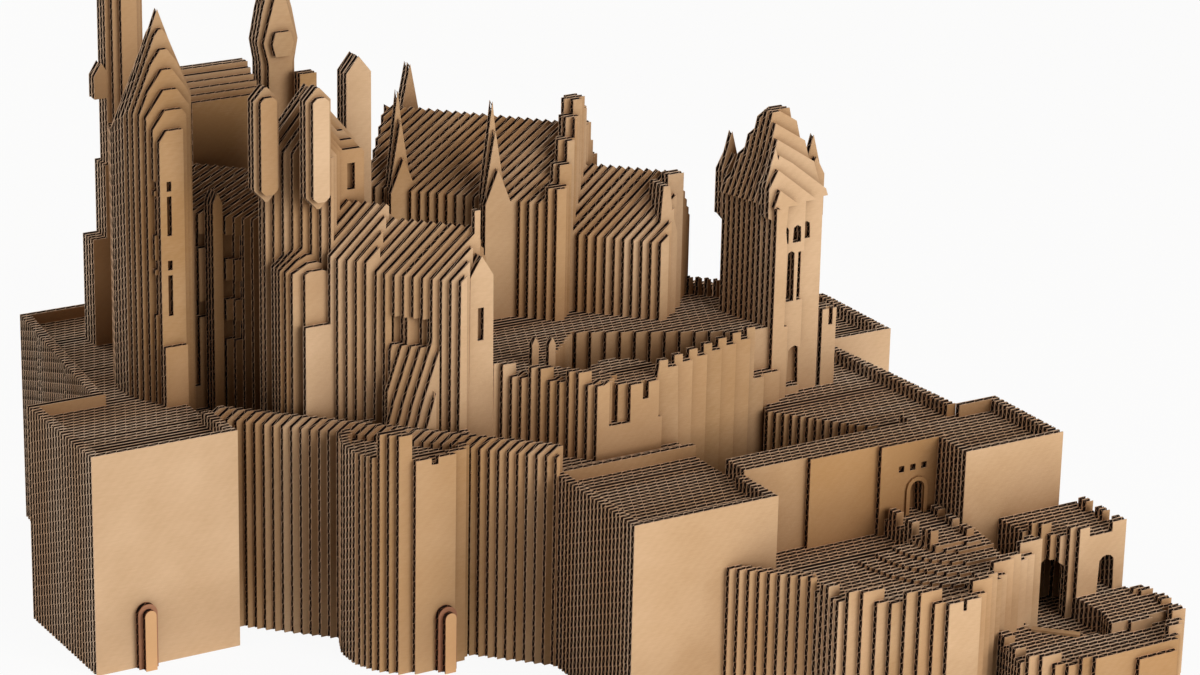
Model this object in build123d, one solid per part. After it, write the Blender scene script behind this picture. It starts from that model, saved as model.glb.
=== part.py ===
from build123d import *
import math
import os

# Castle of upright corrugated boards, glued face to face. All boards stand parallel to XZ.
# +X runs along the boards, +Y from the front of the castle to its back and +Z is up. The plan
# below is measured from the front left corner of the left bastion, and the finished boards are
# moved so that the origin is the middle of the castle's underside. Walls at 45 degrees are
# placed by u, which runs to the front right, and v, which runs to the back right.

# Boards
BOARD = 4.0
FIRST_Y = -328.0
LAST_Y = 240.0
MIDDLE_X = 280.0
BOARDS_PER_GROUP = 3

# Outlines are cut with straight strokes: nothing finer than this is cut
JOIN = 1.5
FLAT = 0.7
LEAST_HOLE = 8.0

# Levels of the terraces and of the walls round them
LEFT_TERRACE = 128.0
LEFT_TOP = 135.0
RIGHT_TERRACE = 114.0
RIGHT_TOP = 121.5
BLOCK_TERRACE = 112.0
BLOCK_TOP = 119.0
COURT_FLOOR = 160.0
COURT_PIT = 134.0
GROUND = 0.0
FRONT_TERRACE = 66.0
DARK_COURT = 70.0

# Walls round the terraces
RIM = 6.0
RIM_CORNER = 5.0
TOOTH_RISE = 5.0
WARD_TOOTH_RISE = 6.5
COURT_TOOTH_RISE = 11.0
COURT_TOOTH_WIDTH = 1.8
BOARDS_PER_TOOTH = 2

# Left bastion and the ward behind it
BASTION_WIDTH = 91.0
BASTION_DEPTH = 92.0
BASTION_BACK_WALL = 48.0
WARD_FRONT_X = 41.0
WARD_BACK_X = 58.0

# Sloping curtain wall and its round tower
CURTAIN_V = 90.5
CURTAIN_END_X = 239.0
CURTAIN_RIM = 8.0
ROUND_X = 175.0
ROUND_Y = -47.0
ROUND_RADIUS = 38.0
ROUND_SIDES = 16
ROUND_TOP = 132.0
ROUND_FLOOR = 127.0
ROUND_WALL = 5.0
ROUND_STEP = (140.0, 161.5, -68.0, 147.0)
ROUND_SLOT = (172.0, 176.5, 128.0)

# Small arched buttresses on the bastion's front and on the round tower's front
BUTTRESS_X = 31.0
BUTTRESS_ON_ROUND_X = 181.0
BUTTRESS_WIDTH = 12.0
BUTTRESS_HEIGHT = 40.0
BUTTRESS_STEP = 2.5

# Middle block
MIDDLE_WIDTH = 95.0
MIDDLE_FRONT = -196.0
MIDDLE_BACK = -104.0

# Front curtain between the middle block and the right block, with its door
PANEL_TOP = 121.5
PANEL_DEPTH = 20.0
PANEL_FRONT = -160.0
PANEL_STEP = 4.0
PANEL_WIDTHS = (43.0, 47.0, 40.0)
DOOR_X = 449.5
DOOR_WIDTH = 10.0
DOOR_HEIGHT = 21.0
DOOR_FRAME = 2.5
DOOR_FRAME_THICKNESS = 1.5
DOOR_DEPTH = 8.0
LOOPHOLE = 4.0
LOOPHOLE_PITCH = 8.0
LOOPHOLE_BASE = 103.5

# Right block, right curtain and the blocks behind it
RIGHT_WIDTH = 70.0
RIGHT_FRONT = -196.0
RIGHT_BACK = -128.0
RIGHT_CURTAIN_X = 505.0
RIGHT_CURTAIN_BACK_X = 496.0
FAR_FRONT = 0.0
FAR_X = 546.0
BACK_WALL_V = 438.0
YARD_LEFT = (239, 4)
YARD_FRONT = ((444, -116), (407, -69))
MIDDLE_YARD_Y = -85.0

# Front ward, its ramp and the gatehouse
WARD_PLAN = ((298, -196), (336, -232), (340, -252), (396, -284), (411, -284), (450, -260), (486, -242))
WARD_RIM_TOP = 74.0
WARD_LEFT_TOP = 82.0
WARD_WALL = 7.0
WARD_SLOT = (402.0, 404.5, -284.0, 68.0)
LEDGES_X = 456.0
LEDGES_Y = -196.0
LEDGES_SIDES = 24
LEDGES = ((66, 68), (54, 70), (42, 72), (30, 74))
RAMP_PLAN = ((428, -160), (428, -202), (431, -214))
RAMP_FOOT = ((460, -220), (464, -160))
RAMP_FOOT_TOP = 80.5
RAMP_TOP = 76.0
HOLLOW_PLAN = ((471, -196), (465, -230), (459, -250), (492, -252), (492, -196))
RAMP_WALL = 5.0
RAMP_RIM_TOP = 84.0
GATEHOUSE_X0 = 490.0
GATEHOUSE_X1 = 547.0
GATEHOUSE_FRONT = -244.0
GATEHOUSE_CORNER = 25.4
GATEHOUSE_ROOF = 75.0
GATEHOUSE_TOP = 81.0
GATEHOUSE_WALL = 5.0
GATEHOUSE_ARCH_X = 534.0
GATEHOUSE_ARCH_WIDTH = 12.0
GATEHOUSE_ARCH_HEIGHT = 23.0
GATEHOUSE_ARCH_DEPTH = 24.0
PASSAGE_U = 518.5
PASSAGE_V = 184.0
PASSAGE_WIDTH = 16.0
PASSAGE_HEIGHT = 36.0
PASSAGE_DEPTH = 36.0
LOW_PLAN = ((496, -244), (548, -244), (560, -262), (556, -290), (520, -328), (470, -324), (432, -300),
            (440, -268))
LOW_BASTION_FLOOR = 32.0
LOW_COURT = 24.0
LOW_COURT_PLAN = ((484, -240), (492, -196), (534, -196), (534, -244), (513, -244), (514, -268), (509, -284),
                  (496, -280), (470, -254))
PLANK_PLACE = (480.5, -268.5, -45.0)
PLANK_SIZE = (28.0, 4.5, 1.5)
LOW_RAISED = 38.0
LOW_RAISED_PLAN = ((513, -244), (548, -244), (560, -262), (558, -279), (532, -287), (508, -285),
                   (514, -268))
LOW_BASTION_RIM = 36.0

# Inner ward wall, corner tower and court
WALK_WIDTH = 24.0
INNER_TOP = 162.0
INNER_LEFT = (228, -42)
INNER_FRONT = (280, -94)
INNER_RIGHT = (320, -90)
INNER_GATE = (402, -64)
INNER_BATTLEMENT = (2.1, 1.7)
WALK_END = (267, -47)
COURT_BEND = (309, -5)
COURT_EDGE = (397, -49)
COURT_BACK = ((430, -56), (430, 2), (372, 60), (200, 60))
CORNER_X = 308.0
CORNER_Y = -71.0
CORNER_RADIUS = 22.0
CORNER_SIDES = 12
CORNER_TOP = 157.0
CORNER_SLOT = (306.5, 310.5, 147.0)
FINIALS = ((262, -44), (271, -48))
FINIAL_WIDTH = 4.4
FINIAL_TOP = 177.0

# Gate tower, turned on the castle's plan
GATE_X = 420.0
GATE_Y = -56.0
GATE_TURN = 15.0
GATE_WIDTH = 40.0
GATE_DEPTH = 44.0
GATE_EAVE = 236.0
GATE_ROOF = ((44, 48, 0), (28, 32, 24), (15, 8, 53))
TURRETS = ((417, -6, 219), (457, -34, 221), (422, -46, 229), (447, -2, 221))
TURRET_RADIUS = 7.5
TURRET_SIDES = 6
TURRET_EAVE = 247.0
TURRET_SPIRE = 24.0
GATE_LIGHTS = ((426, 431), (434, 440), (443, 449))
GATE_LIGHTS_BASE = 211.0
GATE_LIGHTS_HEIGHT = 11.0
GATE_WINDOW = ((430.5, 436), (438, 443))
GATE_WINDOW_BASE = 174.0
GATE_WINDOW_HEIGHT = 32.0
GATE_DOOR = (433, 444)
GATE_DOOR_BASE = 119.0
GATE_DOOR_HEIGHT = 26.0
GATE_CUT = 12.0
PIER = (460.5, 470.5, -48.0, -36.0, 163.0)
PIER_SLOT = (465.0, 468.0, -48.0, 152.5, 163.0)

# Gabled tower on the left
GABLED_PLAN = ((79, 72), (91, 72), (103, 84), (110, 100), (108, 116), (96, 130), (72, 130), (66, 112),
               (66.5, 98), (70, 88), (75, 80))
GABLED_X = 89.0
GABLED_Y = 98.0
GABLED_RADIUS = 28.0
GABLED_SIDES = 12
GABLED_EAVE = 287.0
GABLED_SPIRE = 74.0
GABLED_PLINTH = (78.0, 92.0, 68.0, 165.0)
SLITS = ((82, 85, 72), (75.5, 77.7, 76))
SLIT_ROWS = ((183, 208), (211, 217), (232, 256), (259, 265))

# Facade between the gabled tower and the corner house
FACADE_V = 145.0
FACADE_U1 = 62.0
FACADE_DEPTH = 60.0
FACADE_EAVE = 235.0
FACADE_ROOF = 21.0
PILASTER = (118.0, 80.0, 3.0, 244.0, 251.0)
FACADE_WINDOWS = ((29, 38, 209, 224), (29, 38, 184, 196), (29, 38, 159, 171), (9, 17, 214, 223),
                  (9, 17, 171, 181))
WINDOW_DEPTH = 4.0

# Corner house with its hipped roof, window wing, stair tower, two bartizans and a chimney
HOUSE_U0 = 60.0
HOUSE_U1 = 104.0
HOUSE_V = 117.0
HOUSE_EAVE = 287.0
HOUSE_ROOF = 37.0
STAIR_X = 146.0
STAIR_Y = 26.0
STAIR_RADIUS = 18.0
STAIR_SIDES = 12
STAIR_TOP = 219.0
STAIR_SPIRE = 16.0
STAIR_PLINTH = (137.0, 153.0, 4.0, 188.0)
BARTIZANS = ((124.5, 32.0, 267.0, 320.0), (147.5, 12.0, 265.0, 322.0))
BARTIZAN_RADIUS = 8.5
BARTIZAN_POINT = 10.0
SIDE_WING = (155.0, 183.0, 20.0, 60.0, 284.0)
SIDE_WING_PEAK = (158.0, 48.0, 316.0)
SIDE_SLIT = (172.0, 177.0, 20.0, 262.0, 278.0)
CHIMNEY = (194.0, 48.0, 8.0, 322.0, 332.0)

# Front house
FRONT_U1 = 185.0
FRONT_V = 111.7
FRONT_DEPTH = 44.0
FRONT_STEP_U = 132.0
FRONT_EAVES = (228.0, 222.0)
FRONT_ROOFS = (29.0, 27.0)
FRONT_WINDOWS = ((140, 150), (153, 163))
FRONT_WINDOW_BASE = 180.0
FRONT_WINDOW_TOP = 197.0
FRONT_FLARE = ((99, 0), (99, 126), (103, 148), (108, 168), (113, 190), (113, 0))
FRONT_FLARE_U = (141.0, 170.0)
SMALL_TURRET = (223.5, -48.0, 7.5, 222.0, 234.0)
SMALL_SLIT = (221.0, 225.0, -48.0, 183.0, 203.0)
GABLE_POST = (223.0, 226.5, -40.0, -36.0, 259.0)

# Keep and its two towers
KEEP_X0 = 125.0
KEEP_X1 = 171.0
KEEP_FRONT = 128.0
KEEP_BACK = 176.0
KEEP_EAVE = 290.0
KEEP_ROOF = 18.0
LANTERN_X = 189.0
LANTERN_Y = 150.0
LANTERN_SHAFT = 12.0
LANTERN_RADIUS = 14.5
LANTERN_NECK = 305.0
LANTERN_EAVE = 318.0
LANTERN_SPIRE = 68.0
TALL_X = 107.0
TALL_Y = 190.0
TALL_RADIUS = 13.0
TALL_TOP = 362.0
TALL_SPIRE = 28.0
TOWER_SIDES = 8
TALL_TURRET = (-15.0, -6.0, 5.0, 284.0, 298.0, 306.0)
TALL_ANNEXES = ((-23.0, -7.0, -6.0, 10.0, 196.0), (-14.0, 5.0, -6.0, 10.0, 242.0))
LANTERN_ANNEX = (7.0, 18.0, -22.0, -14.0, 300.0)

# Chapel and the wing on its right
CHAPEL_U0 = 88.0
CHAPEL_U1 = 207.0
CHAPEL_V = 232.0
CHAPEL_DEPTH = 80.0
CHAPEL_EAVE = 233.0
CHAPEL_ROOF = 40.0
CHAPEL_GABLE = ((6, 289), (14, 280), (22, 268), (30, 255), (40, 243))
CHAPEL_GABLE_U = (201.0, 211.0)
PINNACLES = ((173.2, 7.8, 254), (112.4, 0.8, 253))
PINNACLE_STEPS = ((8.5, -21, 0), (7.5, -21, 23), (6.5, -15, 40))
RIDGE_PINNACLE = (277.0, 140.0, 7.0, 258.0, 293.0)
WING_U1 = 270.0
WING_V = 252.0
WING_DEPTH = 60.0
WING_EAVE = 209.0
WING_ROOF = 36.0
WING_TURRET = ((366, 0), (366, 208), (370, 212), (372, 241.5), (376.5, 241.5), (378.5, 226), (382.5, 211),
               (382.5, 0))
WING_TURRET_FRONT = -4.0
WING_TURRET_BOARDS = 4
WING_END = (380.0, 391.0, 4.0, 12.0, 245.5)
WING_SLIT = (371.5, 377.0, -4.0, 176.0, 201.0)

DIAGONAL = Rot(0, 0, -45)
ROOT2 = math.sqrt(2)
ARCH_STEPS = 6
MIDDLE_END_X = CURTAIN_END_X + MIDDLE_WIDTH
RIGHT_BLOCK_X = MIDDLE_END_X + sum(PANEL_WIDTHS)
DOOR_FRONT = PANEL_FRONT - (len(PANEL_WIDTHS) - 1) * PANEL_STEP
BACK_WALL_SUM = BACK_WALL_V * ROOT2


def block(x0, x1, y0, y1, z0, z1):
    """Upright box between two corners."""
    return Pos((x0 + x1) / 2, (y0 + y1) / 2, (z0 + z1) / 2) * Box(x1 - x0, y1 - y0, z1 - z0)


def diagonal(u0, u1, v0, v1, z0, z1):
    """Box turned by 45 degrees."""
    return DIAGONAL * block(u0, u1, v0, v1, z0, z1)


def prism(corners, top, base=0.0):
    """Plan outline raised from its base."""
    return Pos(0, 0, base) * extrude(make_face(Polyline(*corners, close=True)), top - base)


def wall(start, end, thickness, top, corner=0.0, base=0.0):
    """Wall with its outer face from start to end, the inside on its left, the outer top corner cut."""
    length = math.dist(start, end)
    turn = math.degrees(math.atan2(end[1] - start[1], end[0] - start[0]))
    solid = block(0, length, 0, thickness, base, top)
    if corner > 0:
        edge = solid.faces().sort_by(Axis.Y)[0].edges().sort_by(Axis.Z)[-1]
        solid = chamfer(edge, corner)
    return Pos(start[0], start[1], 0) * Rot(0, 0, turn) * solid


def on_board(y):
    """Front plane of the board nearest to a place."""
    return LAST_Y - round((LAST_Y - y) / BOARD) * BOARD


def round_shaft(x, y, radius, sides, base, top):
    """Tower of many flat sides, one of them to the front."""
    plan = Rot(0, 0, 180 / sides) * RegularPolygon(radius, sides)
    return Pos(x, y, base) * extrude(plan, top - base)


def spire(x, y, radius, sides, base, rise):
    """Pointed roof over a many sided tower, or the point under one where the rise is negative."""
    plan = Rot(0, 0, 180 / sides) * RegularPolygon(radius, sides).face()
    return Pos(x, y, base) * loft([plan, Vertex(0, 0, rise)])


def pyramid(x, y, turn, half, base, rise):
    """Four sided roof over a square."""
    plan = Rectangle(2 * half, 2 * half).face()
    return Pos(x, y, base) * Rot(0, 0, turn) * loft([plan, Vertex(0, 0, rise)])


def along_u(u0, u1, profile):
    """Profile of v and Z drawn out along u."""
    outline = Polyline(*[(0, v, z) for v, z in profile], close=True)
    return DIAGONAL * Pos(u0, 0, 0) * extrude(make_face(outline), u1 - u0, dir=(1, 0, 0))


def ridge_roof(u0, u1, v0, v1, eave, rise):
    """Diagonal gabled roof with its ridge along u."""
    return along_u(u0, u1, ((v0, eave), ((v0 + v1) / 2, eave + rise), (v1, eave)))


def upright(outline, front, boards=1):
    """Outline of X and Z cut from a few boards, the foremost at the front given."""
    face = make_face(Polyline(*[(x, front, z) for x, z in outline], close=True))
    return extrude(face, boards * BOARD, dir=(0, 1, 0))


def lancet(x, front, half, shoulder, apex, base=0.0, boards=1):
    """Front board or boards of a turret, with a pointed head."""
    x0, x1 = x - half, x + half
    return upright(((x0, base), (x0, shoulder), (x, apex), (x1, shoulder), (x1, base)), front, boards)


def arch(x0, x1, front, base, height, depth):
    """Round headed opening through some boards."""
    radius = (x1 - x0) / 2
    spring = base + height - radius
    turns = [math.pi * i / ARCH_STEPS for i in range(ARCH_STEPS + 1)]
    head = [(x0 + radius - radius * math.cos(a), spring + radius * math.sin(a)) for a in turns]
    return upright([(x0, base)] + head + [(x1, base)], front, round(depth / BOARD))


def from_diagonal(u, v):
    """X and Y of a place given by u and v."""
    return ((u + v) / ROOT2, (v - u) / ROOT2)


def left_castle():
    bend = (BASTION_WIDTH, CURTAIN_V * ROOT2 - BASTION_WIDTH)
    end = (CURTAIN_END_X, CURTAIN_V * ROOT2 - CURTAIN_END_X)
    return [
        block(0, BASTION_WIDTH, 0, BASTION_DEPTH, 0, LEFT_TERRACE),
        block(0, BASTION_WIDTH, 0, BOARD, 0, LEFT_TOP),
        wall((0, BASTION_DEPTH), (0, 0), RIM, LEFT_TOP),
        wall((BASTION_WIDTH, 0), bend, RIM, LEFT_TOP),
        block(0, BASTION_BACK_WALL, BASTION_DEPTH - BOARD, BASTION_DEPTH, 0, LEFT_TOP),
        prism([(WARD_FRONT_X, BASTION_DEPTH), (BASTION_WIDTH, BASTION_DEPTH), (CURTAIN_END_X, BASTION_DEPTH),
               (CURTAIN_END_X, LAST_Y), (WARD_BACK_X, LAST_Y)], LEFT_TERRACE),
        wall((WARD_BACK_X, LAST_Y), (WARD_FRONT_X, BASTION_DEPTH), RIM, LEFT_TOP),
        block(WARD_BACK_X, CURTAIN_END_X, LAST_Y - BOARD, LAST_Y, 0, LEFT_TOP),
        prism([bend, end, (CURTAIN_END_X, BASTION_DEPTH), (BASTION_WIDTH, BASTION_DEPTH)], RIGHT_TERRACE),
        wall(bend, end, CURTAIN_RIM, LEFT_TOP, RIM_CORNER),
    ]


def round_tower():
    """Open topped tower with one side standing higher."""
    x0, x1, back, top = ROUND_STEP
    shell = round_shaft(ROUND_X, ROUND_Y, ROUND_RADIUS, ROUND_SIDES, GROUND, ROUND_TOP)
    hollow = round_shaft(ROUND_X, ROUND_Y, ROUND_RADIUS - ROUND_WALL, ROUND_SIDES, ROUND_FLOOR, ROUND_TOP)
    high = round_shaft(ROUND_X, ROUND_Y, ROUND_RADIUS, ROUND_SIDES, GROUND, top)
    return [shell - hollow, high & block(x0, x1, ROUND_Y - ROUND_RADIUS, back, GROUND, top)]


def buttress(x, wall_y):
    """Arched strips glued on a front face, each narrower than the one behind it."""
    strips = []
    spring = BUTTRESS_HEIGHT - BUTTRESS_WIDTH / 2
    for i in range(2):
        half = BUTTRESS_WIDTH / 2 - i * BUTTRESS_STEP
        y = wall_y - (i + 1) * BOARD
        shaft = block(x - half, x + half, y, y + BOARD, 0, spring)
        head = Pos(x, y + BOARD / 2, spring) * Rot(90, 0, 0) * Cylinder(half, BOARD)
        strips.append(shaft + head)
    return strips


def middle_block():
    return [
        block(CURTAIN_END_X, MIDDLE_END_X, MIDDLE_FRONT, MIDDLE_BACK, 0, BLOCK_TERRACE),
        block(CURTAIN_END_X, MIDDLE_END_X, MIDDLE_FRONT, MIDDLE_FRONT + BOARD, 0, BLOCK_TOP),
        wall((CURTAIN_END_X, MIDDLE_BACK), (CURTAIN_END_X, MIDDLE_FRONT), RIM, BLOCK_TOP),
        wall((MIDDLE_END_X, MIDDLE_FRONT), (MIDDLE_END_X, PANEL_FRONT), RIM, BLOCK_TOP),
        block(CURTAIN_END_X, MIDDLE_END_X, MIDDLE_BACK - BOARD, MIDDLE_BACK, 0, BLOCK_TOP),
    ]


def front_curtain():
    solids = []
    start = MIDDLE_END_X
    for i, width in enumerate(PANEL_WIDTHS):
        front = PANEL_FRONT - i * PANEL_STEP
        solids.append(block(start, start + width, front, PANEL_FRONT + PANEL_DEPTH, 0, PANEL_TOP))
        start += width
    return solids


def right_castle():
    """Right block, right curtain and the yard behind them."""
    block_x1 = RIGHT_BLOCK_X + RIGHT_WIDTH
    right_back = (RIGHT_BLOCK_X, RIGHT_BACK)
    back = (BACK_WALL_SUM - LAST_Y, LAST_Y)
    far = (FAR_X, BACK_WALL_SUM - FAR_X)
    curtain = ((RIGHT_CURTAIN_X, RIGHT_BACK), (RIGHT_CURTAIN_BACK_X, FAR_FRONT))
    middle_back = (MIDDLE_END_X, MIDDLE_BACK)
    yard = [(CURTAIN_END_X, LAST_Y), back, far, (FAR_X, FAR_FRONT), *reversed(curtain), right_back,
            *YARD_FRONT, (GATE_X, GATE_Y), YARD_LEFT]
    left_yard = [(CURTAIN_END_X, MIDDLE_BACK), middle_back, (MIDDLE_END_X, MIDDLE_YARD_Y), YARD_LEFT]
    dark_court = [(MIDDLE_END_X, PANEL_FRONT), (RIGHT_BLOCK_X, PANEL_FRONT), right_back, *YARD_FRONT,
                  INNER_RIGHT, middle_back]
    return [
        block(RIGHT_BLOCK_X, block_x1, RIGHT_FRONT, RIGHT_BACK, 0, RIGHT_TERRACE),
        block(RIGHT_BLOCK_X, block_x1, RIGHT_FRONT, RIGHT_FRONT + BOARD, 0, RIGHT_TOP),
        wall(right_back, (RIGHT_BLOCK_X, RIGHT_FRONT), RIM, RIGHT_TOP),
        wall((block_x1, RIGHT_FRONT), (block_x1, RIGHT_BACK), RIM, RIGHT_TOP),
        block(RIGHT_CURTAIN_X, block_x1, RIGHT_BACK - BOARD, RIGHT_BACK, 0, RIGHT_TOP),
        prism(yard, RIGHT_TERRACE),
        prism(left_yard, RIGHT_TERRACE),
        prism(dark_court, DARK_COURT),
        wall(*curtain, RIM, RIGHT_TOP),
        block(RIGHT_CURTAIN_BACK_X, FAR_X, FAR_FRONT, FAR_FRONT + BOARD, 0, RIGHT_TOP),
        wall((FAR_X, FAR_FRONT), far, RIM, RIGHT_TOP),
        wall(far, back, RIM, RIGHT_TOP),
        block(CURTAIN_END_X, BACK_WALL_SUM - LAST_Y, LAST_Y - BOARD, LAST_Y, 0, RIGHT_TOP),
    ]


def teeth_on(plan, thickness, top):
    """Walls along a plan that only pairs of boards carry up to the top."""
    return [wall(start, end, thickness, top) for start, end in zip(plan[:-1], plan[1:])]


def merlons():
    corner = GATEHOUSE_X0 + GATEHOUSE_CORNER
    gatehouse_left = ((GATEHOUSE_X0, GATEHOUSE_FRONT + GATEHOUSE_CORNER), (corner, GATEHOUSE_FRONT))
    gatehouse_right = ((GATEHOUSE_X1, GATEHOUSE_FRONT), (GATEHOUSE_X1, RIGHT_FRONT))
    return (
        teeth_on(WARD_PLAN, WARD_WALL, WARD_RIM_TOP + WARD_TOOTH_RISE)
        + teeth_on(RAMP_PLAN, RAMP_WALL, RAMP_RIM_TOP)
        + teeth_on(RAMP_FOOT, RAMP_WALL, RAMP_FOOT_TOP)
        + teeth_on(LOW_PLAN[:0:-1], WARD_WALL, LOW_BASTION_RIM + TOOTH_RISE)
        + teeth_on(gatehouse_left, GATEHOUSE_WALL, GATEHOUSE_TOP)
        + teeth_on(gatehouse_right, GATEHOUSE_WALL, GATEHOUSE_TOP)
        + teeth_on((INNER_LEFT, INNER_FRONT), RIM, INNER_TOP + TOOTH_RISE)
    )


def front_ward():
    """Ward with curved ledges up to the ramp, the gatehouse and the hollow between them."""
    corner = GATEHOUSE_X0 + GATEHOUSE_CORNER
    left = corner + GATEHOUSE_WALL
    right = GATEHOUSE_X1 - 2 * GATEHOUSE_WALL
    floor = WARD_PLAN[:-1] + HOLLOW_PLAN[2::-1]
    gatehouse = [(GATEHOUSE_X0, RIGHT_FRONT), (GATEHOUSE_X0, GATEHOUSE_FRONT + GATEHOUSE_CORNER),
                 (corner, GATEHOUSE_FRONT), (GATEHOUSE_X1, GATEHOUSE_FRONT), (GATEHOUSE_X1, RIGHT_FRONT)]
    solids = [
        prism(floor, FRONT_TERRACE),
        prism(HOLLOW_PLAN, LOW_COURT),
        block(MIDDLE_END_X, RIGHT_BLOCK_X, RIGHT_FRONT, PANEL_FRONT, GROUND, FRONT_TERRACE),
        prism(RAMP_PLAN + RAMP_FOOT, RAMP_TOP),
        prism(gatehouse, GATEHOUSE_ROOF),
        block(corner, left, GATEHOUSE_FRONT, GATEHOUSE_FRONT + BOARD, GROUND, GATEHOUSE_TOP),
        block(right, GATEHOUSE_X1, GATEHOUSE_FRONT, GATEHOUSE_FRONT + BOARD, GROUND, GATEHOUSE_TOP),
    ]
    for radius, top in LEDGES:
        solids.append(prism(floor, top) & round_shaft(LEDGES_X, LEDGES_Y, radius, LEDGES_SIDES, GROUND, top))
    solids.append(wall(*WARD_PLAN[:2], WARD_WALL, WARD_LEFT_TOP))
    return solids + teeth_on(WARD_PLAN, WARD_WALL, WARD_RIM_TOP)


def low_bastion():
    """Bastion in front of the gatehouse, with a sunken court and a raised corner."""
    front = [WARD_PLAN[-2], WARD_PLAN[-1], (GATEHOUSE_X1, GATEHOUSE_FRONT), LOW_PLAN[3]]
    court = prism(LOW_COURT_PLAN, LOW_BASTION_FLOOR)
    return [
        prism(LOW_PLAN, LOW_BASTION_FLOOR) - court,
        prism(front, LOW_BASTION_FLOOR) - court,
        prism(LOW_COURT_PLAN, LOW_COURT),
        prism(LOW_RAISED_PLAN, LOW_RAISED),
    ] + teeth_on(LOW_PLAN[:0:-1], WARD_WALL, LOW_BASTION_RIM)


def battlement(start, end, top):
    """Thin raised band inside a wall's outer face, cut by each board into a tooth."""
    inset, width = INNER_BATTLEMENT
    turn = math.atan2(end[1] - start[1], end[0] - start[0])
    dx, dy = -inset * math.sin(turn), inset * math.cos(turn)
    return wall((start[0] + dx, start[1] + dy), (end[0] + dx, end[1] + dy), width, top)


def inner_ward():
    inside = WALK_WIDTH / ROOT2
    walk_start = (INNER_LEFT[0] + inside, INNER_LEFT[1] + inside)
    solids = [
        prism([INNER_LEFT, INNER_FRONT, INNER_RIGHT, INNER_GATE, *COURT_BACK], COURT_PIT),
        prism([walk_start, WALK_END, COURT_BEND, COURT_EDGE, *COURT_BACK], COURT_FLOOR),
        wall(INNER_LEFT, INNER_FRONT, WALK_WIDTH, COURT_FLOOR),
        wall(INNER_LEFT, INNER_FRONT, RIM, INNER_TOP, RIM_CORNER),
        wall(INNER_RIGHT, INNER_GATE, RIM, INNER_TOP),
        battlement(INNER_RIGHT, INNER_GATE, INNER_TOP + TOOTH_RISE),
        wall(*COURT_BACK[1:3], COURT_TOOTH_WIDTH, COURT_FLOOR + COURT_TOOTH_RISE),
        round_shaft(CORNER_X, CORNER_Y, CORNER_RADIUS, CORNER_SIDES, GROUND, CORNER_TOP),
    ]
    for x, front in FINIALS:
        solids.append(lancet(x, front, FINIAL_WIDTH / 2, FINIAL_TOP - FINIAL_WIDTH, FINIAL_TOP))
    return solids


def gate_tower():
    place = Pos(GATE_X, GATE_Y, 0) * Rot(0, 0, GATE_TURN)
    middle = place * Pos(GATE_WIDTH / 2, GATE_DEPTH / 2, GATE_EAVE)
    shaft = block(0, GATE_WIDTH, 0, GATE_DEPTH, GROUND, GATE_EAVE)
    solids = [place * shaft, block(*PIER[:4], GROUND, PIER[4])]
    for (w0, d0, z0), (w1, d1, z1) in zip(GATE_ROOF[:-1], GATE_ROOF[1:]):
        lower = Pos(0, 0, z0) * Rectangle(w0, d0).face()
        upper = Pos(0, 0, z1) * Rectangle(w1, d1).face()
        solids.append(middle * loft([lower, upper]))
    for x, y, base in TURRETS:
        solids.append(round_shaft(x, y, TURRET_RADIUS, TURRET_SIDES, base, TURRET_EAVE))
        solids.append(spire(x, y, TURRET_RADIUS, TURRET_SIDES, TURRET_EAVE, TURRET_SPIRE))
        solids.append(spire(x, y, TURRET_RADIUS, TURRET_SIDES, base, -TURRET_RADIUS))
    return solids


def gabled_tower():
    """Tower whose boards end in nested pointed heads."""
    x0, x1, front, top = GABLED_PLINTH
    roof = spire(GABLED_X, GABLED_Y, GABLED_RADIUS, GABLED_SIDES, GABLED_EAVE, GABLED_SPIRE)
    return [
        prism(GABLED_PLAN, GABLED_EAVE),
        prism(GABLED_PLAN, GABLED_EAVE + GABLED_SPIRE) & roof,
        block(x0, x1, front, front + BOARD, GROUND, top),
    ]


def facade():
    v1 = FACADE_V + FACADE_DEPTH
    x, front, half, shoulder, apex = PILASTER
    return [
        diagonal(0, FACADE_U1, FACADE_V, v1, GROUND, FACADE_EAVE),
        ridge_roof(0, FACADE_U1, FACADE_V, v1, FACADE_EAVE, FACADE_ROOF),
        lancet(x, front, half, shoulder, apex, boards=3),
    ]


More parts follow.
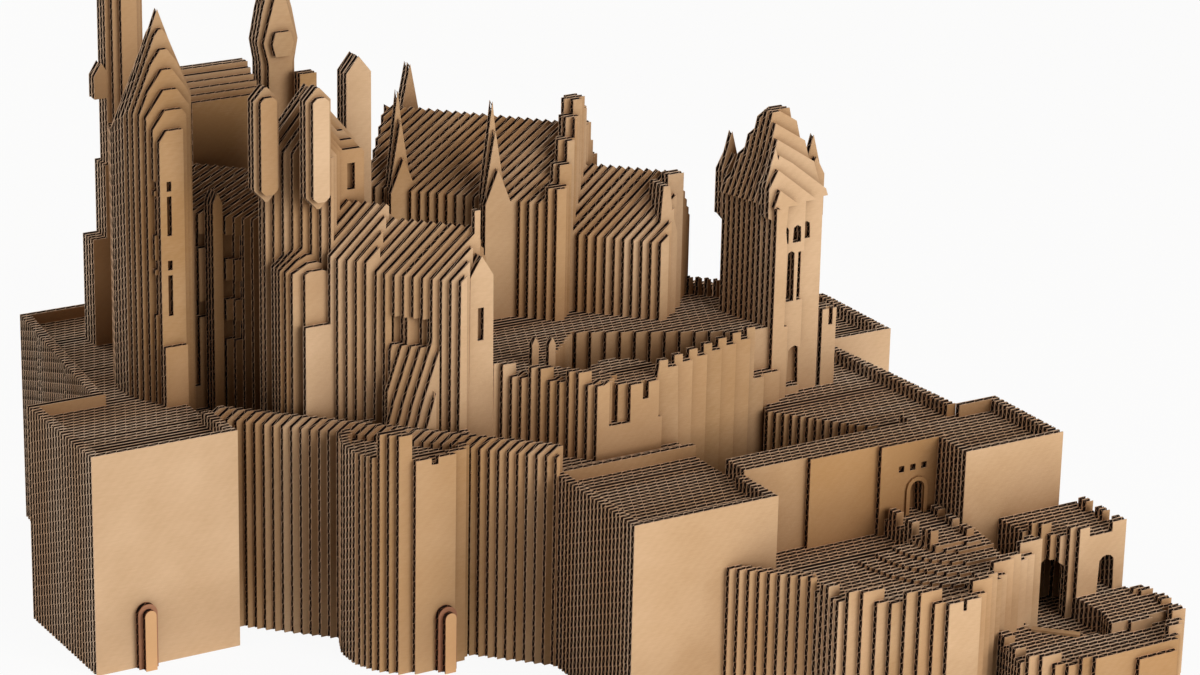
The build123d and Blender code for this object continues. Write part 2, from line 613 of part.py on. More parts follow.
def corner_house():
    size = HOUSE_U1 - HOUSE_U0
    x, y = from_diagonal((HOUSE_U0 + HOUSE_U1) / 2, HOUSE_V + size / 2)
    wing_x0, wing_x1, wing_front, wing_back, wing_top = SIDE_WING
    stair_x0, stair_x1, stair_front, stair_top = STAIR_PLINTH
    chimney_x, chimney_front, half, shoulder, apex = CHIMNEY
    wing_roof = Pos((wing_x0 + wing_x1) / 2, (wing_front + wing_back) / 2, wing_top) * Rectangle(
        wing_x1 - wing_x0, wing_back - wing_front)
    solids = [
        diagonal(HOUSE_U0, HOUSE_U1, HOUSE_V, HOUSE_V + size, GROUND, HOUSE_EAVE),
        pyramid(x, y, 45, size / 2, HOUSE_EAVE, HOUSE_ROOF),
        round_shaft(STAIR_X, STAIR_Y, STAIR_RADIUS, STAIR_SIDES, GROUND, STAIR_TOP),
        spire(STAIR_X, STAIR_Y, STAIR_RADIUS, STAIR_SIDES, STAIR_TOP, STAIR_SPIRE),
        block(stair_x0, stair_x1, stair_front, stair_front + BOARD, GROUND, stair_top),
        block(wing_x0, wing_x1, wing_front, wing_back, GROUND, wing_top),
        loft([wing_roof.face(), Vertex(*SIDE_WING_PEAK)]),
        lancet(chimney_x, chimney_front, half, shoulder, apex, boards=3),
    ]
    for turret_x, turret_y, base, eave in BARTIZANS:
        solids.append(round_shaft(turret_x, turret_y, BARTIZAN_RADIUS, TOWER_SIDES, base, eave))
        solids.append(spire(turret_x, turret_y, BARTIZAN_RADIUS, TOWER_SIDES, eave, BARTIZAN_POINT))
        solids.append(spire(turret_x, turret_y, BARTIZAN_RADIUS, TOWER_SIDES, base, -BARTIZAN_POINT))
    return solids


def front_house():
    v1 = FRONT_V + FRONT_DEPTH
    x, front, half, shoulder, apex = SMALL_TURRET
    solids = [
        along_u(*FRONT_FLARE_U, FRONT_FLARE),
        lancet(x, front, half, shoulder, apex, boards=3),
        block(*GABLE_POST[:4], GROUND, GABLE_POST[4]),
    ]
    steps = (HOUSE_U1, FRONT_STEP_U, FRONT_U1)
    for u0, u1, eave, rise in zip(steps[:-1], steps[1:], FRONT_EAVES, FRONT_ROOFS):
        solids.append(diagonal(u0, u1, FRONT_V, v1, GROUND, eave))
        solids.append(ridge_roof(u0, u1, FRONT_V, v1, eave, rise))
    return solids


def keep():
    ridge = (KEEP_FRONT + KEEP_BACK) / 2
    roof = make_face(Polyline((KEEP_X0, KEEP_FRONT, KEEP_EAVE), (KEEP_X0, ridge, KEEP_EAVE + KEEP_ROOF),
                              (KEEP_X0, KEEP_BACK, KEEP_EAVE), close=True))
    plan = Rot(0, 0, 180 / TOWER_SIDES) * RegularPolygon(1, TOWER_SIDES).face()
    neck = Pos(LANTERN_X, LANTERN_Y, LANTERN_NECK) * scale(plan, LANTERN_SHAFT)
    rim = Pos(LANTERN_X, LANTERN_Y, LANTERN_EAVE) * scale(plan, LANTERN_RADIUS)
    turret_x, turret_y, half, base, shoulder, apex = TALL_TURRET
    solids = [
        block(KEEP_X0, KEEP_X1, KEEP_FRONT, KEEP_BACK, GROUND, KEEP_EAVE),
        extrude(roof, KEEP_X1 - KEEP_X0, dir=(1, 0, 0)),
        round_shaft(LANTERN_X, LANTERN_Y, LANTERN_SHAFT, TOWER_SIDES, GROUND, LANTERN_EAVE),
        loft([neck, rim]),
        spire(LANTERN_X, LANTERN_Y, LANTERN_RADIUS, TOWER_SIDES, LANTERN_EAVE, LANTERN_SPIRE),
        round_shaft(TALL_X, TALL_Y, TALL_RADIUS, TOWER_SIDES, GROUND, TALL_TOP),
        spire(TALL_X, TALL_Y, TALL_RADIUS, TOWER_SIDES, TALL_TOP, TALL_SPIRE),
        lancet(TALL_X + turret_x, on_board(TALL_Y + turret_y), half, shoulder, apex, base, 2),
        Pos(LANTERN_X, LANTERN_Y, 0) * block(*LANTERN_ANNEX[:4], GROUND, LANTERN_ANNEX[4]),
    ]
    for x0, x1, y0, y1, top in TALL_ANNEXES:
        solids.append(Pos(TALL_X, TALL_Y, 0) * block(x0, x1, y0, y1, GROUND, top))
    return solids


def chapel():
    """Chapel with a stepped gable and stepped pinnacles on buttresses along its front."""
    ridge_v = CHAPEL_V + CHAPEL_DEPTH / 2
    v1 = CHAPEL_V + CHAPEL_DEPTH
    x, front, half, shoulder, apex = RIDGE_PINNACLE
    solids = [
        diagonal(CHAPEL_U0, CHAPEL_U1, CHAPEL_V, v1, GROUND, CHAPEL_EAVE),
        ridge_roof(CHAPEL_U0, CHAPEL_U1, CHAPEL_V, v1, CHAPEL_EAVE, CHAPEL_ROOF),
        lancet(x, front, half, shoulder, apex, boards=2),
    ]
    for reach, top in CHAPEL_GABLE:
        solids.append(diagonal(*CHAPEL_GABLE_U, ridge_v - reach, ridge_v + reach, GROUND, top))
    for u, out, top in PINNACLES:
        v = CHAPEL_V - out
        x, y = from_diagonal(u, v)
        front = on_board(y)
        for i, (half, shoulder, rise) in enumerate(PINNACLE_STEPS):
            solids.append(lancet(x, front + i * BOARD, half, top + shoulder, top + rise))
        u0, u1 = u - TURRET_RADIUS, u + TURRET_RADIUS
        solids.append(diagonal(u0, u1, v + 2 * BOARD, CHAPEL_V + 2 * RIM, GROUND, CHAPEL_EAVE - BOARD))
    return solids


def right_wing():
    v1 = WING_V + WING_DEPTH
    return [
        diagonal(CHAPEL_U1, WING_U1, WING_V, v1, GROUND, WING_EAVE),
        ridge_roof(CHAPEL_U1, WING_U1, WING_V, v1, WING_EAVE, WING_ROOF),
        upright(WING_TURRET, WING_TURRET_FRONT, WING_TURRET_BOARDS),
        block(*WING_END[:4], GROUND, WING_END[4]),
    ]


def slit(x0, x1, front, z0, z1):
    """Cut through one board."""
    return block(x0, x1, front, front + BOARD, z0, z1)


def openings():
    """Doors, windows, slits and slots."""
    half = DOOR_WIDTH / 2
    arch_x0 = GATEHOUSE_ARCH_X - GATEHOUSE_ARCH_WIDTH / 2
    cuts = [
        arch(DOOR_X - half, DOOR_X + half, DOOR_FRONT, RAMP_TOP, DOOR_HEIGHT, DOOR_DEPTH),
        arch(arch_x0, arch_x0 + GATEHOUSE_ARCH_WIDTH, GATEHOUSE_FRONT, LOW_RAISED, GATEHOUSE_ARCH_HEIGHT,
             GATEHOUSE_ARCH_DEPTH),
        DIAGONAL * arch(PASSAGE_U - PASSAGE_WIDTH / 2, PASSAGE_U + PASSAGE_WIDTH / 2, PASSAGE_V, LOW_COURT,
                        PASSAGE_HEIGHT, PASSAGE_DEPTH),
        arch(*GATE_DOOR, GATE_Y, GATE_DOOR_BASE, GATE_DOOR_HEIGHT, GATE_CUT),
        slit(ROUND_SLOT[0], ROUND_SLOT[1], ROUND_FRONT, ROUND_SLOT[2], ROUND_TOP),
        slit(CORNER_SLOT[0], CORNER_SLOT[1], CORNER_FRONT, CORNER_SLOT[2], CORNER_TOP),
        slit(*WARD_SLOT, WARD_RIM_TOP + WARD_TOOTH_RISE),
        slit(*SIDE_SLIT),
        slit(*SMALL_SLIT),
        slit(*WING_SLIT),
        slit(*PIER_SLOT),
    ]
    for i in (-1, 0, 1):
        x = DOOR_X - half + i * LOOPHOLE_PITCH
        cuts.append(slit(x, x + LOOPHOLE, DOOR_FRONT, LOOPHOLE_BASE, LOOPHOLE_BASE + LOOPHOLE))
    cuts += [arch(x0, x1, GATE_Y, GATE_LIGHTS_BASE, GATE_LIGHTS_HEIGHT, GATE_CUT) for x0, x1 in GATE_LIGHTS]
    cuts += [arch(x0, x1, GATE_Y, GATE_WINDOW_BASE, GATE_WINDOW_HEIGHT, GATE_CUT) for x0, x1 in GATE_WINDOW]
    cuts += [slit(*place, z0, z1) for place in SLITS for z0, z1 in SLIT_ROWS]
    v0, v1 = FACADE_V - WINDOW_DEPTH, FACADE_V + WINDOW_DEPTH
    cuts += [diagonal(u0, u1, v0, v1, z0, z1) for u0, u1, z0, z1 in FACADE_WINDOWS]
    v0, v1 = FRONT_V - WINDOW_DEPTH, FRONT_V + WINDOW_DEPTH
    cuts += [diagonal(u0, u1, v0, v1, FRONT_WINDOW_BASE, FRONT_WINDOW_TOP) for u0, u1 in FRONT_WINDOWS]
    return cuts


def door_frame():
    """Bent strip round the curtain's door."""
    x0, x1 = DOOR_X - DOOR_WIDTH / 2, DOOR_X + DOOR_WIDTH / 2
    front = DOOR_FRONT - BOARD
    outer = arch(x0 - DOOR_FRAME, x1 + DOOR_FRAME, front, RAMP_TOP, DOOR_HEIGHT + DOOR_FRAME, BOARD)
    inner = arch(x0, x1, front, RAMP_TOP, DOOR_HEIGHT, BOARD)
    strip_front = DOOR_FRONT - DOOR_FRAME_THICKNESS
    strip = block(x0 - DOOR_WIDTH, x1 + DOOR_WIDTH, strip_front, DOOR_FRONT, GROUND, PANEL_TOP)
    return [(outer - inner) & strip]


def plank():
    """Strip that lies across the low bastion's court."""
    x, y, turn = PLANK_PLACE
    length, width, thickness = PLANK_SIZE
    solid = block(-length / 2, length / 2, -width / 2, width / 2, 0, thickness)
    return [Pos(x, y, LOW_BASTION_FLOOR) * Rot(0, 0, turn) * solid]


# The foremost board of a round shaft is the first one whose middle plane cuts it
ROUND_FRONT = math.ceil((ROUND_Y - ROUND_RADIUS) / BOARD) * BOARD
CORNER_FRONT = math.ceil((CORNER_Y - CORNER_RADIUS) / BOARD) * BOARD

MASSES = (left_castle() + round_tower() + middle_block() + front_curtain() + right_castle() + front_ward()
          + low_bastion() + inner_ward() + gate_tower() + gabled_tower() + facade() + corner_house()
          + front_house() + keep() + chapel() + right_wing())
TEETH = merlons()
OPENINGS = openings()
TO_ORIGIN = Pos(-MIDDLE_X, -(FIRST_Y + LAST_Y) / 2, 0)


def sections(solids, y):
    """Faces where the board's middle plane cuts the solids."""
    plane = Plane(origin=(0, y, 0), x_dir=(1, 0, 0), z_dir=(0, -1, 0))
    faces = []
    for solid in solids:
        box = solid.bounding_box()
        if box.min.Y < y < box.max.Y:
            faces += section(solid, section_by=plane).faces()
    return faces


def tidy(points):
    """Corners that shape an outline, none close to the next and none on a straight edge."""
    kept = list(points)
    i = 0
    while i < len(kept) > 3:
        before, here, after = kept[i - 1], kept[i], kept[(i + 1) % len(kept)]
        span = math.dist(before, after)
        lean = (here[0] - before[0]) * (after[1] - before[1]) - (here[1] - before[1]) * (after[0] - before[0])
        if math.dist(before, here) < JOIN or abs(lean) < FLAT * span or span < JOIN:
            del kept[i]
            i = max(i - 1, 0)
        else:
            i += 1
    return kept


def corners(wire):
    return tidy([(edge.position_at(0).X, edge.position_at(0).Z) for edge in wire.order_edges()])


def area(points):
    return abs(sum(a[0] * b[1] - a[1] * b[0] for a, b in zip(points, points[1:] + points[:1]))) / 2


def loop(points, y):
    return Wire.make_polygon([(x, y, z) for x, z in points])


def board_sheets(k):
    """Sheets of board k, counted from the back, one for each part of its outline."""
    y = LAST_Y - (k + 0.5) * BOARD
    faces = sections(MASSES, y)
    if (k + 1) // BOARDS_PER_TOOTH % 2 == 0:
        faces += sections(TEETH, y)
    outline = faces[0]
    if len(faces) > 1:
        outline = faces[0].fuse(*faces[1:]).clean()
    cuts = sections(OPENINGS, y)
    if cuts:
        outline = outline.cut(*cuts)
    sheets = []
    for face in outline.faces():
        holes = [corners(wire) for wire in face.inner_wires() if wire.is_closed]
        holes = [points for points in holes if area(points) > LEAST_HOLE]
        sheet = Face(loop(corners(face.outer_wire()), y), [loop(points, y) for points in holes])
        sheets.append(TO_ORIGIN * Pos(0, BOARD / 2, 0) * extrude(sheet, BOARD, dir=(0, -1, 0)))
    return sheets


BOARDS = [board_sheets(k) for k in range(round((LAST_Y - FIRST_Y) / BOARD))]

SMALL_PIECES = {
    "bastion_buttress": buttress(BUTTRESS_X, 0),
    "round_tower_buttress": buttress(BUTTRESS_ON_ROUND_X, ROUND_FRONT),
    "curtain_door_frame": door_frame(),
    "low_bastion_plank": plank(),
}

if __name__ == "__main__":
    os.makedirs("parts", exist_ok=True)
    for first in range(0, len(BOARDS), BOARDS_PER_GROUP):
        group = BOARDS[first:first + BOARDS_PER_GROUP]
        sheets = [sheet.solid() for board in group for sheet in board]
        name = f"boards_{first + 1:03d}_to_{first + len(group):03d}"
        export_step(Compound(children=sheets), f"parts/{name}.step")
    for name, strips in SMALL_PIECES.items():
        solids = [(TO_ORIGIN * strip).solid() for strip in strips]
        export_step(Compound(children=solids), f"parts/{name}.step")
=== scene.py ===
import math

import bpy
from mathutils import Matrix, Vector


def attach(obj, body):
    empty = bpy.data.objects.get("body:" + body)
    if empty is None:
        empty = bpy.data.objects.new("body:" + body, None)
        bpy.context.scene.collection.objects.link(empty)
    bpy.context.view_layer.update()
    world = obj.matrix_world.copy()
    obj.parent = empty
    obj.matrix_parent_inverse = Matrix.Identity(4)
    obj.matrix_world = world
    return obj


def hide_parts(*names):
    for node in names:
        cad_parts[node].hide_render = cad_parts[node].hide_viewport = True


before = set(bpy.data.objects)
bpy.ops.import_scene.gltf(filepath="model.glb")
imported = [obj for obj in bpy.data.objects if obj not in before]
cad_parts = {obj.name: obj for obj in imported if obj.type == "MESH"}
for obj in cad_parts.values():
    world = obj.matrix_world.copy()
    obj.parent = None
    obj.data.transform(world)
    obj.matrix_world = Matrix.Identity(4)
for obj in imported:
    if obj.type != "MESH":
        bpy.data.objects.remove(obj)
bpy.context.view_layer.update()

# Make-up of the corrugated board, in metres. The flutes of most boards run at 45 degrees.
BOARD = 0.004
LINER = 0.0005
PAPER = 0.0004
FLUTE_PITCH = 0.0046
FLUTE_TURN = math.radians(45)
ROWS_PER_FLUTE = 4

# Boards with level flutes, counted from the plane of y = 0, and the shift of the wave per board
LEVEL_BOARDS = (-37, -36, -20, -7, -6, 4, 16, 17, 18, 21, 33, 34, 47, 60, 61, 75, 88)
PHASE_STEP = 0.27

# Reading of the CAD meshes: what counts as a front face, and digits in which places agree
FACING_FRONT = 0.99
FRONT_DIGITS = 5
CORNER_DIGITS = 6

# Rows of the waved paper that lie nearer together than this are taken as one, in metres
SAME_ROW = 0.00002

# Material slots of a corrugated piece
FACE, INSIDE, CUT, FLUTE, BACKING = range(5)

# Faces of one strip of waved paper between two rows: corners, material and smooth shading
STRIP_FACES = (((0, 1, 2, 3), FLUTE, True), ((4, 7, 6, 5), FLUTE, True),
               ((0, 3, 7, 4), CUT, False), ((1, 5, 6, 2), CUT, False))

# Look of the paper: sizes of its patterns, and the share that each has in going from light to dark
FIBRE_SCALE = 1400
FIBRE_DETAIL = 4
FIBRE_STRETCH = (0.12, 1.0, 1.0)
CLOUD_SCALE = 22
CLOUD_DETAIL = 3
CLOUD_SHARE = 0.7
SHEET_AND_SHADE_SHARE = 0.75
BOARD_SHARE = 0.25
RIDGE_SHARE = 0.02
LEAST_SHARE = 0.05
WARM_SHARE = 0.45
SHINE = 0.25
RELIEF = 0.0002
RIDGE_RELIEF = 0.5

# Lighter and darker boards along the stack, partly tone that differs from sheet to sheet and partly painted
# shade, set to darken boards that stand in shade: turn per board and start of two sines
SHEET_AND_SHADE_WAVES = ((0.51, 5.3), (0.109, 3.9))
SHEET_AND_SHADE_SWING = 0.25

# Step behind a board's front plane at which its number is read, in metres
INTO_BOARD = 0.0001

# Painted shade in recesses, from ambient occlusion, and the height over which it comes in, so that the floor
# adds none
RECESS_REACH = 0.05
RECESS_POWER = 1.3
RECESS_SAMPLES = 6
PAINTED_SHADE_COLOUR = (0.27, 0.17, 0.08, 1)
FOOT_HEIGHT = 0.05
WHITE = (1, 1, 1, 1)

# Papers: display colours of light, dark and warm sheets, and how rough they are and how much painted shade
# they take in recesses
PAPERS = {
    "kraft_liner": dict(light=(226, 193, 157), dark=(172, 133, 88), warm=(190, 144, 94),
                        streaks=0.3, bump=0.2, roughness=0.75, painted_shade_share=1),
    # Painted shade: the inside faces of the liners are coloured near black for the shade in the flute
    # hollows; the paper itself is kraft
    "kraft_inside_painted_shade": dict(light=(30, 16, 8), dark=(20, 10, 5), warm=(26, 13, 6),
                         streaks=0.5, bump=0.2, roughness=0.9, painted_shade_share=0),
    "kraft_cut_edge": dict(light=(250, 222, 194), dark=(210, 170, 136), warm=(222, 174, 128),
                           streaks=0.8, bump=0.3, roughness=0.85, painted_shade_share=0),
    # Painted shade: the waved paper is coloured near black for the shade inside the flutes; the paper itself
    # is kraft
    "kraft_flute_painted_shade": dict(light=(44, 25, 14), dark=(30, 17, 9), warm=(38, 20, 10),
                        streaks=0.5, bump=0.2, roughness=0.9, painted_shade_share=0),
    "red_brown_board": dict(light=(186, 136, 106), dark=(152, 102, 78), warm=(168, 112, 76),
                            streaks=0.5, bump=0.3, roughness=0.8, painted_shade_share=0.4),
    "light_strip": dict(light=(234, 190, 144), dark=(214, 166, 120), warm=(222, 172, 118),
                        streaks=0.3, bump=0.2, roughness=0.75, painted_shade_share=1),
}

# Papers of a board and of a buttress, in the order of the material slots
BOARD_PAPERS = ("kraft_liner", "kraft_inside_painted_shade", "kraft_cut_edge", "kraft_flute_painted_shade")
BUTTRESS_PAPERS = ("light_strip", "kraft_inside_painted_shade", "red_brown_board", "kraft_flute_painted_shade", "red_brown_board")

# Camera of the photograph, in the frame of the model, with angles in radians
CAMERA_PLACE = (-1.0989, -1.8649, 0.9593)
CAMERA_YAW = 0.54261
CAMERA_PITCH = 0.3478
CAMERA_ROLL = 0.0216
CAMERA_LENS = 118.25
CAMERA_SENSOR = 36
CAMERA_NEAR = 0.05

# Floor, world and lamps
FLOOR_HALF_SIDE = 20
FLOOR_COLOUR = (0.86, 0.855, 0.85, 1)
FLOOR_ROUGHNESS = 0.9
FLOOR_GLOW = 0.93
WORLD_COLOUR = (1, 0.93, 0.86, 1)
WORLD_STRENGTH = 0.28
LAMP_COLOUR = (1.0, 0.98, 0.95)
LAMP_TARGET = (0, 0, 0.15)

# Name, place, side in metres and power in watts
LAMPS = (("key", (0.8, -2.5, 0.95), 1.6, 58),
         ("back", (-1.6, 4.4, 1.9), 3.0, 100))


def sheets_of(cad):
    """Front plane, triangles and outline edges of each board in a CAD node."""
    mesh = cad.data
    mesh.calc_loop_triangles()
    fronts = {}
    for triangle in mesh.loop_triangles:
        if triangle.normal.y < -FACING_FRONT:
            corners = [mesh.vertices[i].co for i in triangle.vertices]
            front = round(corners[0].y, FRONT_DIGITS)
            fronts.setdefault(front, []).append([(c.x, c.z) for c in corners])
    return [(front, triangles, outline_of(triangles)) for front, triangles in sorted(fronts.items())]


def outline_of(triangles):
    """Edges that only one of the triangles has."""
    edges = {}
    for corners in triangles:
        rounded = [(round(x, CORNER_DIGITS), round(z, CORNER_DIGITS)) for x, z in corners]
        for ends in zip(rounded, rounded[1:] + rounded[:1]):
            edges.setdefault(tuple(sorted(ends)), []).append(ends)
    return [uses[0] for uses in edges.values() if len(uses) == 1]


def crossings(edges, row):
    """Spans inside the outline along a row."""
    places = []
    for (s0, t0), (s1, t1) in edges:
        if (t0 <= row) != (t1 <= row):
            places.append(s0 + (s1 - s0) * (row - t0) / (t1 - t0))
    places.sort()
    return list(zip(places[::2], places[1::2]))


class Skin:
    """Vertices and faces of one piece, with a material and a shading for each face."""

    def __init__(self):
        self.points = []
        self.faces = []
        self.materials = []
        self.smooth = []

    def add(self, corners, material, smooth=False):
        start = len(self.points)
        self.points += corners
        self.faces.append(tuple(range(start, start + len(corners))))
        self.materials.append(material)
        self.smooth.append(smooth)


def add_liner(skin, front, triangles, edges, ahead, behind):
    """One flat paper of a board, with the materials of its front and back and its cut edge."""
    back = front + LINER
    for corners in triangles:
        skin.add([(x, front, z) for x, z in corners], ahead)
        skin.add([(x, back, z) for x, z in reversed(corners)], behind)
    for (x0, z0), (x1, z1) in edges:
        skin.add([(x0, front, z0), (x0, back, z0), (x1, back, z1), (x1, front, z1)], CUT)


def wave(phase):
    """Place of the waved paper across the board, from -1 to 1, with flat crests glued to the liners."""
    return max(-1, min(1, 2 * (4 * abs(phase % 1 - 0.5) - 1)))


def flute_rows(corner_rows, phase):
    """Rows in which the waved paper bends or the outline has a corner."""
    step = FLUTE_PITCH / ROWS_PER_FLUTE
    offset = (0.5 - ROWS_PER_FLUTE * phase) * step
    first = math.ceil((min(corner_rows) - offset) / step)
    last = math.floor((max(corner_rows) - offset) / step)
    rows = sorted(corner_rows | {offset + i * step for i in range(first, last + 1)})
    return rows[:1] + [b for a, b in zip(rows, rows[1:]) if b - a > SAME_ROW]


def add_flutes(skin, front, edges, phase, turn):
    """The waved paper between the two liners, in strips along its flutes, cut off at the outline."""
    cos = math.cos(turn)
    sin = math.sin(turn)
    middle = front + BOARD / 2
    swing = BOARD / 2 - LINER - PAPER / 2

    def corner(s, t, side):
        y = middle + swing * wave(t / FLUTE_PITCH + phase) + side * PAPER / 2
        return (s * cos - t * sin, y, s * sin + t * cos)

    turned = [[(x * cos + z * sin, z * cos - x * sin) for x, z in ends] for ends in edges]
    rows = flute_rows({t for ends in turned for _, t in ends}, phase)
    for t0, t1 in zip(rows, rows[1:]):
        lower = crossings(turned, t0 + SAME_ROW / 2)
        upper = crossings(turned, t1 - SAME_ROW / 2)
        if len(lower) != len(upper):
            continue
        for (a0, b0), (a1, b1) in zip(lower, upper):
            around = ((a0, t0), (b0, t0), (b1, t1), (a1, t1))
            ring = [corner(s, t, side) for side in (-1, 1) for s, t in around]
            for order, material, smooth in STRIP_FACES:
                skin.add([ring[i] for i in order], material, smooth)


def corrugated(name, materials, backing=FACE):
    """Piece of corrugated boards in place of a CAD node. Outer faces behind the first have the backing."""
    skin = Skin()
    for order, (front, triangles, edges) in enumerate(sheets_of(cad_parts[name])):
        index = round(front / BOARD)
        add_liner(skin, front, triangles, edges, backing if order else FACE, INSIDE)
        add_liner(skin, front + BOARD - LINER, triangles, edges, INSIDE, backing)
        turn = 0 if index in LEVEL_BOARDS else FLUTE_TURN
        add_flutes(skin, front, edges, (index * PHASE_STEP) % 1, turn)
    mesh = bpy.data.meshes.new(name + "_paper")
    mesh.from_pydata(skin.points, [], skin.faces)
    for material in materials:
        mesh.materials.append(material)
    mesh.polygons.foreach_set("material_index", skin.materials)
    mesh.polygons.foreach_set("use_smooth", skin.smooth)
    mesh.update()
    piece = bpy.data.objects.new(name + "_paper", mesh)
    bpy.context.scene.collection.objects.link(piece)
    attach(piece, "root")
    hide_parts(name)


def linear(red, green, blue):
    """Linear colour, with its alpha, from display values of 0 to 255."""
    shares = [c / 255 for c in (red, green, blue)]
    return (*(c / 12.92 if c < 0.04 else ((c + 0.055) / 1.055) ** 2.4 for c in shares), 1)


def node(tree, kind, **settings):
    """New node with its settings."""
    made = tree.nodes.new(kind)
    for key, value in settings.items():
        setattr(made, key, value)
    return made


def feed(tree, socket, value):
    """Link a socket to another one, or give it a plain value."""
    if isinstance(value, bpy.types.NodeSocket):
        tree.links.new(value, socket)
    else:
        socket.default_value = value


def arithmetic(tree, operation, *values):
    """Math node on sockets or numbers."""
    made = node(tree, "ShaderNodeMath", operation=operation)
    for socket, value in zip(made.inputs, values):
        feed(tree, socket, value)
    return made.outputs[0]


def weighted(tree, value, share):
    return arithmetic(tree, "MULTIPLY", value, share)


def mixed_colour(tree, factor, first, second, blend_type="MIX"):
    """Mix of two colours, each a socket or a plain colour."""
    made = node(tree, "ShaderNodeMix", data_type="RGBA", blend_type=blend_type)
    feed(tree, made.inputs["Factor"], factor)
    feed(tree, made.inputs["A"], first)
    feed(tree, made.inputs["B"], second)
    return made.outputs["Result"]


def mixed_shader(tree, share, first, second):
    made = node(tree, "ShaderNodeMixShader")
    for socket, value in zip(made.inputs, (share, first, second)):
        feed(tree, socket, value)
    return made.outputs[0]


def noise(tree, place, scale, detail):
    """Value of a noise texture, which lies round 0.5."""
    made = node(tree, "ShaderNodeTexNoise")
    feed(tree, made.inputs["Vector"], place)
    made.inputs["Scale"].default_value = scale
    made.inputs["Detail"].default_value = detail
    return made.outputs[0]


def board_number(tree, y):
    """Number of the board at a point, counted from the plane of y = 0."""
    inside = arithmetic(tree, "ADD", y, INTO_BOARD)
    return arithmetic(tree, "FLOOR", arithmetic(tree, "DIVIDE", inside, BOARD))


def sheet_tone_and_painted_shade(tree, board):
    """Slow change between lighter and darker boards along the stack, from 0 to 1: partly sheet tone, partly
    painted shade on boards that stand in shade.
    """
    shade = 0.5
    for pace, start in SHEET_AND_SHADE_WAVES:
        angle = arithmetic(tree, "ADD", weighted(tree, board, pace), start)
        swing = weighted(tree, arithmetic(tree, "SINE", angle), SHEET_AND_SHADE_SWING)
        shade = arithmetic(tree, "ADD", shade, swing)
    return shade


def flute_ridges(tree, x, z):
    """Wave of the flutes at 45 degrees, as it shows faintly through a liner."""
    across = arithmetic(tree, "SUBTRACT", z, x)
    return arithmetic(tree, "SINE", weighted(tree, across, math.sqrt(2) * math.pi / FLUTE_PITCH))


def painted_recess_shade(tree, z, painted_shade_share):
    """Painted shade: white in the open, and the shade colour in recesses above the foot of the walls, found
    by ambient occlusion.
    """
    recess = node(tree, "ShaderNodeAmbientOcclusion", samples=RECESS_SAMPLES)
    recess.inputs["Distance"].default_value = RECESS_REACH
    openness = arithmetic(tree, "POWER", recess.outputs["AO"], RECESS_POWER)
    above = arithmetic(tree, "MINIMUM", arithmetic(tree, "DIVIDE", z, FOOT_HEIGHT), 1)
    hidden = arithmetic(tree, "MULTIPLY", arithmetic(tree, "SUBTRACT", 1, openness), above)
    return mixed_colour(tree, weighted(tree, hidden, painted_shade_share), WHITE, PAINTED_SHADE_COLOUR)


def paper(name, light, dark, warm, streaks, bump, roughness, painted_shade_share):
    """Kraft paper: each board has its own tint, which is partly painted shade, with fibres along X and
    painted shade in recesses.
    """
    material = bpy.data.materials.new(name)
    material.use_nodes = True
    tree = material.node_tree
    place = node(tree, "ShaderNodeNewGeometry").outputs["Position"]
    axes = node(tree, "ShaderNodeSeparateXYZ")
    feed(tree, axes.inputs[0], place)
    x, y, z = axes.outputs
    board = board_number(tree, y)
    tint = node(tree, "ShaderNodeTexWhiteNoise", noise_dimensions="1D")
    feed(tree, tint.inputs["W"], board)
    hue = node(tree, "ShaderNodeSeparateColor")
    feed(tree, hue.inputs[0], tint.outputs["Color"])
    stretched = node(tree, "ShaderNodeVectorMath", operation="MULTIPLY")
    feed(tree, stretched.inputs[0], place)
    feed(tree, stretched.inputs[1], FIBRE_STRETCH)
    fibres = noise(tree, stretched.outputs[0], FIBRE_SCALE, FIBRE_DETAIL)
    clouds = noise(tree, place, CLOUD_SCALE, CLOUD_DETAIL)
    ridges = flute_ridges(tree, x, z)

    # Darkness of the paper from fibres, clouds, the waves along the stack (partly painted shade), board tint
    # and flute ridges
    darkness = weighted(tree, arithmetic(tree, "SUBTRACT", fibres, 0.5), streaks)
    for part in (weighted(tree, arithmetic(tree, "SUBTRACT", clouds, 0.5), CLOUD_SHARE),
                 weighted(tree, sheet_tone_and_painted_shade(tree, board), SHEET_AND_SHADE_SHARE),
                 weighted(tree, tint.outputs["Value"], BOARD_SHARE),
                 weighted(tree, ridges, RIDGE_SHARE), LEAST_SHARE):
        darkness = arithmetic(tree, "ADD", darkness, part)
    plain = mixed_colour(tree, darkness, linear(*light), linear(*dark))
    tinted = mixed_colour(tree, weighted(tree, hue.outputs[1], WARM_SHARE), plain, linear(*warm))
    # Painted shade: the colour is darkened where ambient occlusion finds a recess
    colour = mixed_colour(tree, 1, tinted, painted_recess_shade(tree, z, painted_shade_share), "MULTIPLY")

    relief = node(tree, "ShaderNodeBump")
    relief.inputs["Strength"].default_value = bump
    relief.inputs["Distance"].default_value = RELIEF
    height = arithmetic(tree, "ADD", fibres, weighted(tree, ridges, RIDGE_RELIEF))
    feed(tree, relief.inputs["Height"], height)

    shader = tree.nodes["Principled BSDF"]
    shader.inputs["Roughness"].default_value = roughness
    shader.inputs["Specular IOR Level"].default_value = SHINE
    feed(tree, shader.inputs["Base Color"], colour)
    feed(tree, shader.inputs["Normal"], relief.outputs[0])
    return material


def make_pieces():
    """Corrugated boards and buttresses, and paper on the two small solids."""
    papers = {name: paper(name, **look) for name, look in PAPERS.items()}
    for name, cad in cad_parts.items():
        if name.startswith("boards_"):
            corrugated(name, [papers[look] for look in BOARD_PAPERS])
        elif name.endswith("_buttress"):
            corrugated(name, [papers[look] for look in BUTTRESS_PAPERS], BACKING)
        else:
            cad.data.materials.clear()
            cad.data.materials.append(papers["kraft_liner"])


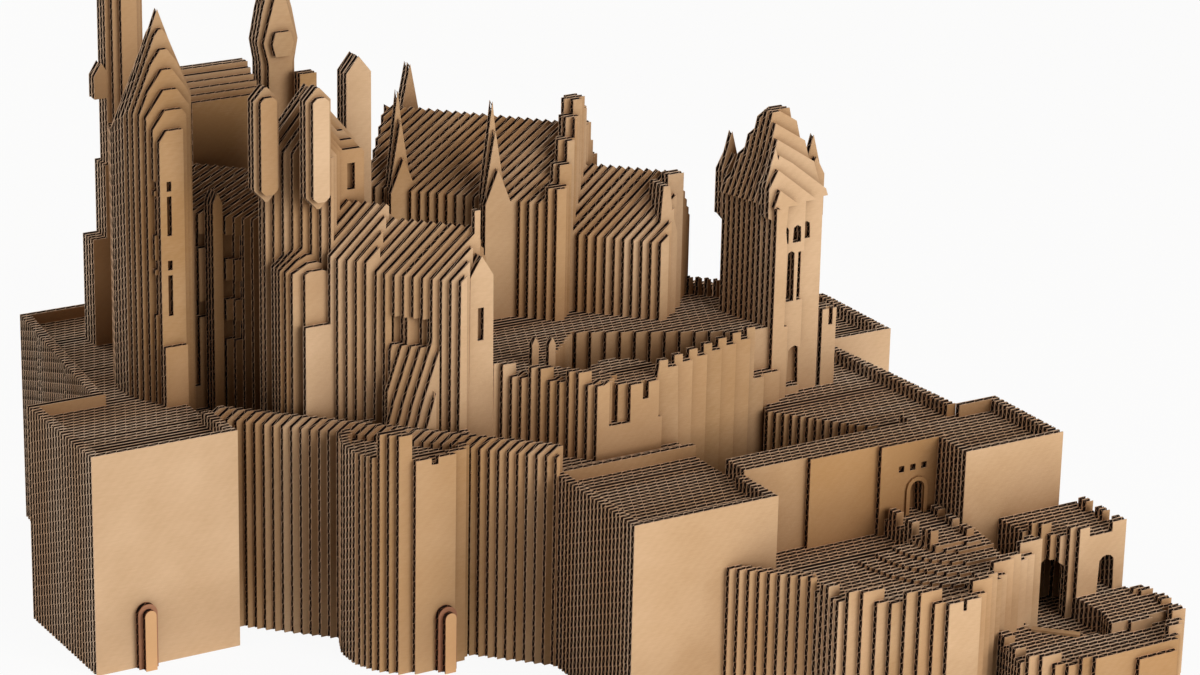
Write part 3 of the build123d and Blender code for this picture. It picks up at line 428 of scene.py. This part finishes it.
def photo_camera():
    """Camera that stands where the photograph was taken from."""
    level = Vector((math.cos(CAMERA_YAW), -math.sin(CAMERA_YAW), 0))
    ahead = Vector((math.sin(CAMERA_YAW) * math.cos(CAMERA_PITCH),
                    math.cos(CAMERA_YAW) * math.cos(CAMERA_PITCH), -math.sin(CAMERA_PITCH)))
    raised = level.cross(ahead)
    right = math.cos(CAMERA_ROLL) * level + math.sin(CAMERA_ROLL) * raised
    upward = -math.sin(CAMERA_ROLL) * level + math.cos(CAMERA_ROLL) * raised
    data = bpy.data.cameras.new("camera")
    data.sensor_width = CAMERA_SENSOR
    data.lens = CAMERA_LENS
    data.clip_start = CAMERA_NEAR
    camera = bpy.data.objects.new("camera", data)
    turn = Matrix((right, upward, -ahead)).transposed().to_4x4()
    camera.matrix_world = Matrix.Translation(CAMERA_PLACE) @ turn
    bpy.context.scene.collection.objects.link(camera)
    bpy.context.scene.camera = camera


def seen_plainly(tree):
    """1 for the camera's rays, mirrored and let through ones too, and 0 for the light on the object."""
    path = node(tree, "ShaderNodeLightPath")
    indirect = arithmetic(tree, "MAXIMUM", path.outputs["Is Glossy Ray"], path.outputs["Is Transmission Ray"])
    return arithmetic(tree, "MAXIMUM", path.outputs["Is Camera Ray"], indirect)


def make_floor():
    """Pale floor that fades into the white background and keeps the object's shadow."""
    far = FLOOR_HALF_SIDE
    mesh = bpy.data.meshes.new("floor")
    corners = [(-far, -far, 0), (far, -far, 0), (far, far, 0), (-far, far, 0)]
    mesh.from_pydata(corners, [], [(0, 1, 2, 3)])
    floor = bpy.data.objects.new("floor", mesh)
    bpy.context.scene.collection.objects.link(floor)
    material = bpy.data.materials.new("pale_floor")
    material.use_nodes = True
    tree = material.node_tree
    matt = tree.nodes["Principled BSDF"]
    matt.inputs["Base Color"].default_value = FLOOR_COLOUR
    matt.inputs["Roughness"].default_value = FLOOR_ROUGHNESS
    glow = node(tree, "ShaderNodeEmission")
    glow.inputs["Color"].default_value = WHITE
    share = weighted(tree, seen_plainly(tree), FLOOR_GLOW)
    surface = mixed_shader(tree, share, matt.outputs[0], glow.outputs[0])
    feed(tree, tree.nodes["Material Output"].inputs["Surface"], surface)
    mesh.materials.append(material)


def make_lamp(name, place, side, watts):
    """Square soft box turned to the object."""
    data = bpy.data.lights.new(name, "AREA")
    data.shape = "SQUARE"
    data.size = side
    data.energy = watts
    data.color = LAMP_COLOUR
    light = bpy.data.objects.new(name, data)
    light.location = place
    light.rotation_euler = (Vector(LAMP_TARGET) - Vector(place)).to_track_quat("-Z", "Y").to_euler()
    bpy.context.scene.collection.objects.link(light)


def background(tree, colour, strength):
    made = node(tree, "ShaderNodeBackground")
    made.inputs["Color"].default_value = colour
    made.inputs["Strength"].default_value = strength
    return made.outputs[0]


def make_world():
    """Soft warm light from all round, and white behind the object."""
    world = bpy.data.worlds.new("studio")
    bpy.context.scene.world = world
    world.use_nodes = True
    tree = world.node_tree
    tree.nodes.clear()
    soft = background(tree, WORLD_COLOUR, WORLD_STRENGTH)
    white = background(tree, WHITE, 1)
    surface = mixed_shader(tree, seen_plainly(tree), soft, white)
    feed(tree, node(tree, "ShaderNodeOutputWorld").inputs["Surface"], surface)


photo_camera()
make_pieces()
make_floor()
for name, place, side, watts in LAMPS:
    make_lamp(name, place, side, watts)
make_world()
scene = bpy.context.scene
scene.view_settings.view_transform = "Standard"
